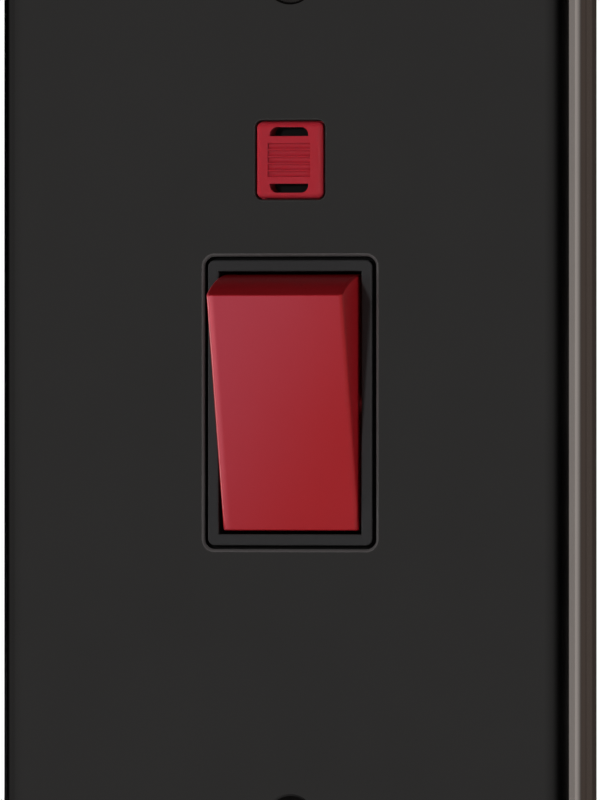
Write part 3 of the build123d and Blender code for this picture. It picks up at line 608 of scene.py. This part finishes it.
def countersink_disc(axes):
    """1 on the plate's two countersinks, 0 elsewhere."""
    beyond = abs(axes.out("Z")) - COUNTERSINK_REACH
    away = (axes.out("X") * axes.out("X") + beyond * beyond).root()
    return away.ramp(COUNTERSINK_RADIUS + COUNTERSINK_SOFT, COUNTERSINK_RADIUS - COUNTERSINK_SOFT)


def nickel_finish(colour, edge_colour, roughness):
    """Black nickel on the pressed sheet: worn and with a painted highlight on the front edge around
    the rocker, with painted shade on the edge around the lens and along its rear, and dull in the
    countersinks."""
    material, finish = new_finish("black_nickel")
    place = finish.place()
    axes = finish.axes(place)
    depth = axes.out("Y")
    cloud = finish.noise(place, PLATE_CLOUD)

    # Wear and painted highlight: a lighter, non-metallic band on the front edge around the rocker
    edge = ROCKER_OPENING.edge
    in_front = depth.ramp(PLATE_LOW.y + WEAR_AND_HIGHLIGHT_END * edge, PLATE_LOW.y + WEAR_AND_HIGHLIGHT_FULL * edge)
    patches = WEAR_LEAST + finish.noise(place, WEAR_PATCH) * WEAR_MORE
    wear_and_highlight = edge_band(axes, ROCKER_OPENING) * in_front * patches
    # Painted shade: a dark, non-metallic band on the edge around the lens, which hides its
    # reflection
    lens_edge_shade = edge_band(axes, LENS_OPENING)
    sunk = countersink_disc(axes)
    # Painted shade: darker along the rear edge
    rear_shade = depth.ramp(PLATE_HIGH.y - REAR_SHADE_START, PLATE_HIGH.y - REAR_SHADE_FULL)

    plating = finish.clouded(cloud, colour, PLATE_SPREAD)
    plating = finish.mix(rear_shade, plating, tone(colour, REAR_SHADE_TONE))
    plating = finish.mix(wear_and_highlight, plating, tone(edge_colour))
    dull = wear_and_highlight * WEAR_DULL + lens_edge_shade * LENS_EDGE_SHADE_DULL + sunk * COUNTERSINK_DULL
    finish.shade(
        Base_Color=finish.mix(lens_edge_shade, plating, tone(edge_colour, LENS_EDGE_SHADE_TONE)),
        Metallic=1 - wear_and_highlight.most(lens_edge_shade),
        Roughness=roughness + cloud.swing(PLATE_CLOUD_POLISH) + dull,
        Normal=finish.bump(finish.noise(place, PLATE_RIPPLE), PLATE_RIPPLE_DEPTH),
    )
    return material


def lens_finish(colour):
    """Clear red moulding, lit from within by what falls on it, with painted shade in its grooves.
    """
    material, finish = new_finish("lens_red")
    place = finish.place()
    cloud = finish.noise(place, LENS_CLOUD)
    front = PLATE_LOW.y - LENS_PROUD
    # Painted shade: darker down in the grooves
    groove_shade = finish.axes(place).out("Y").ramp(front + GROOVE_START, front + GROOVE_FULL)
    moulding = finish.clouded(cloud, colour, LENS_SPREAD)
    finish.shade(
        Base_Color=finish.mix(groove_shade, moulding, tone(colour, GROOVE_SHADE_TONE)),
        Roughness=LENS_ROUGHNESS + cloud * LENS_CLOUD_POLISH,
        IOR=LENS_IOR,
        Specular_IOR_Level=LENS_SHEEN,
        Subsurface_Weight=LENS_SCATTER,
        Subsurface_Radius=LENS_SCATTER_COLOUR,
        Subsurface_Scale=LENS_SCATTER_REACH,
    )
    return material


def glass_finish():
    """Glass of the neon bulb, with a darker end where the leads are sealed."""
    material, finish = new_finish("bulb_glass")
    sealed = finish.axes(finish.place()).out("X").ramp(SEAL_START, SEAL_FULL)
    finish.shade(
        Base_Color=finish.mix(sealed, CLEAR_GLASS, SEALED_GLASS),
        Roughness=GLASS_ROUGHNESS + sealed * SEAL_DULL,
        IOR=GLASS_IOR,
        Transmission_Weight=GLASS_CLEARNESS,
    )
    return material


def resistor_finish(colour):
    """Lacquered body with four colour bands."""
    material, finish = new_finish("resistor_lacquer")
    place = finish.place()
    along = finish.axes(place).out("X")
    coat = finish.clouded(finish.noise(place, LACQUER_CLOUD), colour, LACQUER_SPREAD)
    for middle, band in RESISTOR_BANDS:
        coat = finish.mix(abs(along - middle).ramp(RING_END, RING_FULL), coat, band)
    finish.shade(
        Base_Color=coat,
        Roughness=LACQUER_ROUGHNESS,
        Normal=finish.bump(finish.noise(place, LACQUER_RIPPLE), LACQUER_RIPPLE_DEPTH),
    )
    return material


class CookerSwitchOperator(bpy.types.Operator):
    """Base of the operators that make the cooker switch."""

    bl_options = {"REGISTER", "UNDO"}

    @property
    def colours(self):
        """Colours and polish that the scene holds."""
        return bpy.context.scene.cooker_switch_finishes


class COOKER_OT_front_plate(CookerSwitchOperator):
    """Finish the pressed front plate in black nickel"""

    bl_idname = "cooker_switch.front_plate"
    bl_label = "Front Plate"

    def execute(self, context):
        colours = self.colours
        material = nickel_finish(colours.plate_colour, colours.edge_colour, colours.plate_roughness)
        finish_node("front_plate", material)
        return {"FINISHED"}


def thread_radius(sizes, depth, turn):
    """Radius of the rolled thread at a depth and a share of a turn: sharp roots and flat crests."""
    phase = (depth / sizes.thread_pitch - turn) % 1.0
    rise = min(1.0, FLANK_STEEPNESS * abs(2.0 * phase - 1.0))
    return sizes.thread_radius - sizes.thread_depth * (1.0 - rise)


def screw_rings(sizes):
    """Rings of a fixing screw from its head to its end: a depth and the radius of each point."""
    dome = (sizes.head_radius ** 2 + sizes.head_rise ** 2) / (2 * sizes.head_rise)
    rings = []
    for i in range(1, DOME_RINGS + 1):
        radius = sizes.head_radius * i / DOME_RINGS
        depth = SCREWS_LOW.y + dome - math.sqrt(dome ** 2 - radius ** 2)
        rings.append((depth, [radius] * SCREW_POINTS))
    neck = [sizes.neck_radius] * SCREW_POINTS
    neck_start = SCREWS_LOW.y + sizes.head_rise + sizes.head_radius - sizes.neck_radius
    start = PLATE_LOW.y + sizes.thread_start
    rings += [(neck_start, neck), (start, neck)]
    step = sizes.thread_pitch / TURN_RINGS
    for i in range(int((SCREWS_HIGH.y - sizes.thread_pitch - start) / step)):
        depth = start + i * step
        radii = [thread_radius(sizes, depth, k / SCREW_POINTS) for k in range(SCREW_POINTS)]
        rings.append((depth, radii))
    rings.append((SCREWS_HIGH.y, [sizes.thread_radius - sizes.thread_depth] * SCREW_POINTS))
    return rings


def skin(shape, loops):
    """Add the closed skin through loops of points to a mesh."""
    rings = [[shape.verts.new(point) for point in loop] for loop in loops]
    for near, far in zip(rings, rings[1:]):
        for k in range(len(near)):
            shape.faces.new((near[k - 1], near[k], far[k], far[k - 1]))
    for end in (rings[0], rings[-1]):
        shape.faces.new(end)
    bmesh.ops.recalc_face_normals(shape, faces=shape.faces)


def turn_screw(shape, rings, height):
    """Add the closed skin of a screw along Y, at a height, to a mesh."""
    turns = [math.tau * k / SCREW_POINTS for k in range(SCREW_POINTS)]
    loops = []
    for depth, radii in rings:
        loop = [(r * math.cos(a), depth, height + r * math.sin(a)) for r, a in zip(radii, turns)]
        loops.append(loop)
    skin(shape, loops)


def mesh_object(name, shape):
    """Object of a finished bmesh, in the scene."""
    mesh = bpy.data.meshes.new(name)
    shape.to_mesh(mesh)
    shape.free()
    made = bpy.data.objects.new(name, mesh)
    bpy.context.scene.collection.objects.link(made)
    return made


def smooth(piece, sharp_angle):
    """Shade a piece smooth, apart from its sharp edges."""
    piece.data.shade_smooth()
    piece.data.set_sharp_from_angle(angle=sharp_angle)


def cut_away(piece, cutter):
    """Cut one object out of another and drop the cutter."""
    cut = piece.modifiers.new(cutter.name, "BOOLEAN")
    cut.object = cutter
    whole = piece.evaluated_get(bpy.context.evaluated_depsgraph_get())
    plain = piece.data
    piece.data = bpy.data.meshes.new_from_object(whole)
    piece.modifiers.remove(cut)
    bpy.data.objects.remove(cutter)
    bpy.data.meshes.remove(plain)


def make_screws(sizes):
    """Two raised countersunk screws with rolled threads and driver slots."""
    screws = bmesh.new()
    slots = bmesh.new()
    rings = screw_rings(sizes)
    slot = (SLOT_LENGTH * sizes.head_radius, 2 * sizes.slot_depth, sizes.slot_width, 1.0)
    lean = Matrix.Rotation(-sizes.slot_angle, 4, "Y")
    for height in (SCREWS_LOW.z + sizes.head_radius, SCREWS_HIGH.z - sizes.head_radius):
        turn_screw(screws, rings, height)
        place = Matrix.Translation((0.0, SCREWS_LOW.y, height))
        bmesh.ops.create_cube(slots, size=1.0, matrix=place @ lean @ Matrix.Diagonal(slot))
    piece = mesh_object("threaded_fixing_screws", screws)
    cut_away(piece, mesh_object("driver_slots", slots))
    smooth(piece, SCREW_SHARP)
    return piece


class COOKER_OT_fixing_screws(CookerSwitchOperator):
    """Make the two fixing screws with their threads"""

    bl_idname = "cooker_switch.fixing_screws"
    bl_label = "Fixing Screws"

    def execute(self, context):
        material = metal_finish("screw_nickel", self.colours.screw_colour, roughness=0.42)
        finish_node("fixing_screws", material)
        screws = make_screws(context.scene.cooker_switch_sizes)
        screws.data.materials.append(material)
        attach(screws, "plate")
        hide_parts("fixing_screws")
        return {"FINISHED"}


class COOKER_OT_insert(CookerSwitchOperator):
    """Finish the black insert and its push-on washers"""

    bl_idname = "cooker_switch.insert"
    bl_label = "Insert Moulding"

    def execute(self, context):
        colours = self.colours
        black = insert_finish(colours.insert_colour, colours.insert_roughness)
        finish_node("insert_moulding", black)
        zinc = metal_finish("washer_zinc", colours.steel_colour, roughness=0.34)
        finish_node("stud_washers", zinc)
        return {"FINISHED"}


class COOKER_OT_rocker(CookerSwitchOperator):
    """Finish the red rocker"""

    bl_idname = "cooker_switch.rocker"
    bl_label = "Rocker"

    def execute(self, context):
        colours = self.colours
        reds = (colours.rocker_colour, colours.painted_sheen_colour, colours.highlight_colour)
        finish_node("rocker", rocker_finish(*reds, colours.rocker_roughness))
        return {"FINISHED"}


class COOKER_OT_lamp(CookerSwitchOperator):
    """Finish the neon lens and the lamp behind it"""

    bl_idname = "cooker_switch.lamp"
    bl_label = "Neon Lamp"

    def execute(self, context):
        finish_node("neon_lens", lens_finish(self.colours.lens_colour))
        finish_node("neon_bulb", glass_finish())
        finish_node("neon_resistor", resistor_finish(self.colours.resistor_colour))
        tinned = metal_finish("tinned_wire", self.colours.lead_colour, roughness=0.3)
        for name in ("neon_link_lead", "neon_live_lead", "neon_neutral_lead"):
            finish_node(name, tinned)
        return {"FINISHED"}


class COOKER_OT_contacts(CookerSwitchOperator):
    """Finish the arms, bars and tips of both poles"""

    bl_idname = "cooker_switch.contacts"
    bl_label = "Contacts"

    def execute(self, context):
        copper = metal_finish(
            "contact_copper", self.colours.copper_colour, roughness=0.32, cloud_size=3 * MM,
            spread=0.16,
        )
        silver = metal_finish("tip_silver", self.colours.silver_colour, roughness=0.24)
        for pole in ("live", "neutral"):
            for piece in ("arm", "supply_bar", "load_bar"):
                finish_node(f"{pole}_{piece}", copper)
            for piece in ("arm_tip", "fixed_tip"):
                finish_node(f"{pole}_{piece}", silver)
        return {"FINISHED"}


def coil_rise(turn, turns, closed_rise, rise):
    """Height that a coil has climbed after some turns, less in its closed end turns."""
    if turn <= 1:
        return turn * closed_rise
    if turn >= turns - 1:
        return rise - (turns - turn) * closed_rise
    return closed_rise + (turn - 1) * (rise - 2 * closed_rise) / (turns - 2)


def coil_loops(sizes, anchor, along, room):
    """Loops of points around a spring's wire, from its anchor against a direction."""
    across = Vector((1.0, 0.0, 0.0))
    upward = along.cross(across)
    inset = sizes.coil_seat + sizes.wire_radius
    angles = [math.tau * k / WIRE_POINTS for k in range(WIRE_POINTS)]
    loops = []
    for i in range(sizes.coil_turns * COIL_RINGS + 1):
        turn = i / COIL_RINGS
        outward = math.cos(math.tau * turn) * across + math.sin(math.tau * turn) * upward
        climbed = coil_rise(turn, sizes.coil_turns, 2 * sizes.wire_radius, room - 2 * inset)
        middle = anchor - along * (inset + climbed) + outward * sizes.coil_radius
        spokes = [math.cos(a) * outward + math.sin(a) * along for a in angles]
        loops.append([middle + sizes.wire_radius * spoke for spoke in spokes])
    return loops


def make_spring(side, sizes, material):
    """Coil spring from the front of its guide to the plunger's shoulder."""
    joints = {joint["name"]: joint for joint in frame["joints"]}
    slide = joints[f"{side}_plunger_slide"]
    along = Vector(slide["axis"])
    anchor = Vector(slide["deforming_nodes"][0]["fixed_end_m"])
    room = (anchor - Vector(joints["rocker_hinge"]["pos_m"])).dot(along)
    shape = bmesh.new()
    skin(shape, coil_loops(sizes, anchor, along, room))
    spring = mesh_object(f"{side}_coil_spring", shape)
    spring.data.materials.append(material)
    smooth(spring, SPRING_SHARP)
    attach(spring, "rocker")
    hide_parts(f"{side}_spring")
    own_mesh(spring)


class COOKER_OT_plungers(CookerSwitchOperator):
    """Finish the plungers and make their springs"""

    bl_idname = "cooker_switch.plungers"
    bl_label = "Plungers and Springs"

    def execute(self, context):
        nylon = moulded_finish("plunger_nylon", self.colours.nylon_colour, roughness=0.45)
        wire = metal_finish(
            "spring_wire", self.colours.spring_colour, roughness=0.28, cloud_size=1.5 * MM
        )
        for side in ("left", "right"):
            finish_node(f"{side}_plunger", nylon)
            finish_node(f"{side}_spring", wire)
            make_spring(side, context.scene.cooker_switch_sizes, wire)
        return {"FINISHED"}


def brass_finish(name, colour, roughness):
    """Brass of the terminals, a little cloudier than the plated steel."""
    return metal_finish(name, colour, roughness, cloud_size=4 * MM, spread=0.12)


class COOKER_OT_base(CookerSwitchOperator):
    """Finish the switch base, its terminals and their screws"""

    bl_idname = "cooker_switch.base"
    bl_label = "Base and Terminals"

    def execute(self, context):
        black = moulded_finish(
            "base_black", self.colours.base_colour, roughness=0.5, grain_size=0.2 * MM,
            grain_depth=0.012 * MM,
        )
        finish_node("switch_base", black)
        zinc = metal_finish("screw_zinc", self.colours.steel_colour, roughness=0.3)
        for name in ("base_screws", "terminal_screws"):
            finish_node(name, zinc)
        brass = brass_finish("terminal_brass", self.colours.brass_colour, roughness=0.3)
        for pole in ("live", "neutral"):
            for end in ("supply", "load"):
                finish_node(f"{pole}_{end}_terminal", brass)
        return {"FINISHED"}


class COOKER_OT_earth(CookerSwitchOperator):
    """Finish the earth bracket, its terminal and screw"""

    bl_idname = "cooker_switch.earth"
    bl_label = "Earth Connection"

    def execute(self, context):
        steel, brass = self.colours.steel_colour, self.colours.brass_colour
        finish_node("earth_bracket", metal_finish("bracket_zinc", steel, roughness=0.36))
        finish_node("earth_terminal", brass_finish("earth_brass", brass, roughness=0.32))
        finish_node("earth_screw", metal_finish("earth_screw_zinc", steel, roughness=0.3))
        return {"FINISHED"}


def soft_step(distance, half, soft):
    """1 within half a size and 0 outside it, with a soft edge, all in degrees but the distance."""
    return distance.ramp(math.radians(half + soft), math.radians(half - soft))


def studio_card(azimuth, elevation, card):
    """1 on a patch of the studio and 0 outside it, with soft edges."""
    across = abs(azimuth - math.radians(card.azimuth))
    upward = abs(elevation - math.radians(card.elevation))
    inside = soft_step(across, card.half_width, card.soft_across)
    return inside * soft_step(upward, card.half_height, card.soft_upward)


def make_world(settings):
    """White behind the part for the camera, and a dim studio with lit cards all round it."""
    world = bpy.data.worlds.new("studio")
    bpy.context.scene.world = world
    finish = Finish(world)
    axes = finish.axes(finish.node("ShaderNodeTexCoord").out("Generated"))
    azimuth = axes.maths("ARCTAN2", axes.out("X"), axes.out("Y") * -1.0)
    elevation = axes.maths("ARCSINE", axes.out("Z"))

    floor = elevation.ramp(FLOOR_START, FLOOR_FULL)
    rear = axes.out("Y").ramp(REAR_START, REAR_FULL)
    front_light, floor_light, rear_light = (
        tone(NEUTRAL, level)
        for level in (settings.front_level, settings.floor_level, settings.rear_level)
    )
    light = finish.mix(rear, finish.mix(floor, front_light, floor_light), rear_light)
    for card in STUDIO_CARDS:
        patch = studio_card(azimuth, elevation, card)
        light = finish.mix(patch, light, tone(card.colour, card.level))

    rays = finish.node("ShaderNodeLightPath")
    studio = finish.node("ShaderNodeBackground", None, {"Color": light})
    white = finish.node("ShaderNodeBackground", None, {"Color": WHITE})
    behind = studio_card(abs(azimuth), elevation, BACKDROP)
    mirrored = rays.out("Is Glossy Ray").most(rays.out("Is Transmission Ray")) * behind
    shown = rays.out("Is Camera Ray").most(mirrored)
    finish.output(finish.either(shown, studio, white), "World")


def make_floor(settings):
    """Pale floor under the plate, which fades to the white behind it."""
    shape = bmesh.new()
    bmesh.ops.create_circle(shape, cap_ends=True, radius=FLOOR_RADIUS, segments=FLOOR_POINTS)
    floor = mesh_object("floor", shape)
    floor.location.z = PLATE_LOW.z
    floor.visible_glossy = False
    material, finish = new_finish("floor_pale")
    place = finish.place()
    cloud = finish.noise(place, FLOOR_CLOUD)
    pale = finish.surface(
        Base_Color=finish.clouded(cloud, settings.floor_colour, FLOOR_SPREAD),
        Roughness=FLOOR_ROUGHNESS,
    )
    rays = finish.node("ShaderNodeLightPath")
    away = finish.vector("LENGTH", place)
    fade = FLOOR_WHITENESS + away.ramp(FADE_START, FADE_END) * (1 - FLOOR_WHITENESS)
    shown = rays.out("Is Camera Ray").most(rays.out("Is Transmission Ray")) * fade
    white = finish.node("ShaderNodeEmission", None, {"Color": WHITE})
    finish.output(finish.either(shown, pale, white))
    floor.data.materials.append(material)


def bearing(azimuth, elevation):
    """Direction at an azimuth to the right of the part's front and an elevation, in radians."""
    level = math.cos(elevation)
    return Vector((math.sin(azimuth) * level, -math.cos(azimuth) * level, math.sin(elevation)))


def aim_back(made, direction):
    """Turn a camera or a lamp against the direction it stands in, and add it to the scene."""
    made.rotation_euler = (-direction).to_track_quat("-Z", "Y").to_euler()
    bpy.context.scene.collection.objects.link(made)


def make_camera(settings):
    """Camera at the photograph's angle, far away with a long lens."""
    data = bpy.data.cameras.new("camera")
    data.sensor_width = SENSOR_WIDTH
    data.lens = settings.lens
    camera = bpy.data.objects.new("camera", data)
    distance = settings.frame_height * settings.lens / data.sensor_width
    data.clip_start = distance * CLIP_NEAR
    data.clip_end = distance * CLIP_FAR
    back = bearing(settings.azimuth, 0.0)
    camera.location = Vector(settings.aim) + back * distance
    aim_back(camera, back)
    bpy.context.scene.camera = camera


def make_lamp(lamp):
    """Soft square lamp turned to the part; its power gives the stated light at the part."""
    data = bpy.data.lights.new(lamp.name, "AREA")
    data.size = lamp.size
    data.energy = lamp.light * (math.pi * lamp.distance) ** 2
    data.color = NEUTRAL
    made = bpy.data.objects.new(lamp.name, data)
    azimuth, elevation = math.radians(lamp.azimuth), math.radians(lamp.elevation)
    made.location = lamp.distance * bearing(azimuth, elevation)
    made.visible_camera = False
    made.visible_glossy = lamp.mirrored
    aim_back(made, made.location)


class COOKER_OT_stage(CookerSwitchOperator):
    """Set up the floor, the studio light and the camera"""

    bl_idname = "cooker_switch.stage"
    bl_label = "Stage"

    def execute(self, context):
        settings = context.scene.cooker_switch_studio
        context.scene.view_settings.view_transform = "Standard"
        make_world(settings)
        make_floor(settings)
        for lamp in LAMPS:
            make_lamp(lamp)
        make_camera(settings)
        return {"FINISHED"}


GROUPS = {
    "cooker_switch_finishes": CookerSwitchFinishes,
    "cooker_switch_sizes": CookerSwitchSizes,
    "cooker_switch_studio": CookerSwitchStudio,
}
STEPS = (
    COOKER_OT_front_plate,
    COOKER_OT_fixing_screws,
    COOKER_OT_insert,
    COOKER_OT_rocker,
    COOKER_OT_lamp,
    COOKER_OT_contacts,
    COOKER_OT_plungers,
    COOKER_OT_base,
    COOKER_OT_earth,
    COOKER_OT_stage,
)


class COOKER_PT_panel(bpy.types.Panel):
    """Sidebar panel with the steps and the settings"""

    bl_idname = "COOKER_PT_panel"
    bl_label = "Cooker Switch"
    bl_space_type = "VIEW_3D"
    bl_region_type = "UI"
    bl_category = "Cooker Switch"

    def draw(self, context):
        for step in STEPS:
            self.layout.operator(step.bl_idname)
        for name, group in GROUPS.items():
            box = self.layout.box()
            for setting in group.__annotations__:
                box.prop(getattr(context.scene, name), setting)


CLASSES = tuple(GROUPS.values()) + STEPS + (COOKER_PT_panel,)


def register():
    """Add the classes, and the settings to every scene."""
    for made in CLASSES:
        bpy.utils.register_class(made)
    for name, group in GROUPS.items():
        setattr(bpy.types.Scene, name, bpy.props.PointerProperty(type=group))


def unregister():
    """Take the settings and the classes away again."""
    for name in GROUPS:
        delattr(bpy.types.Scene, name)
    for made in reversed(CLASSES):
        bpy.utils.unregister_class(made)


def main():
    """Make every piece in order."""
    register()
    for step in STEPS:
        group, name = step.bl_idname.split(".")
        getattr(getattr(bpy.ops, group), name)()


if __name__ == "__main__":
    main()
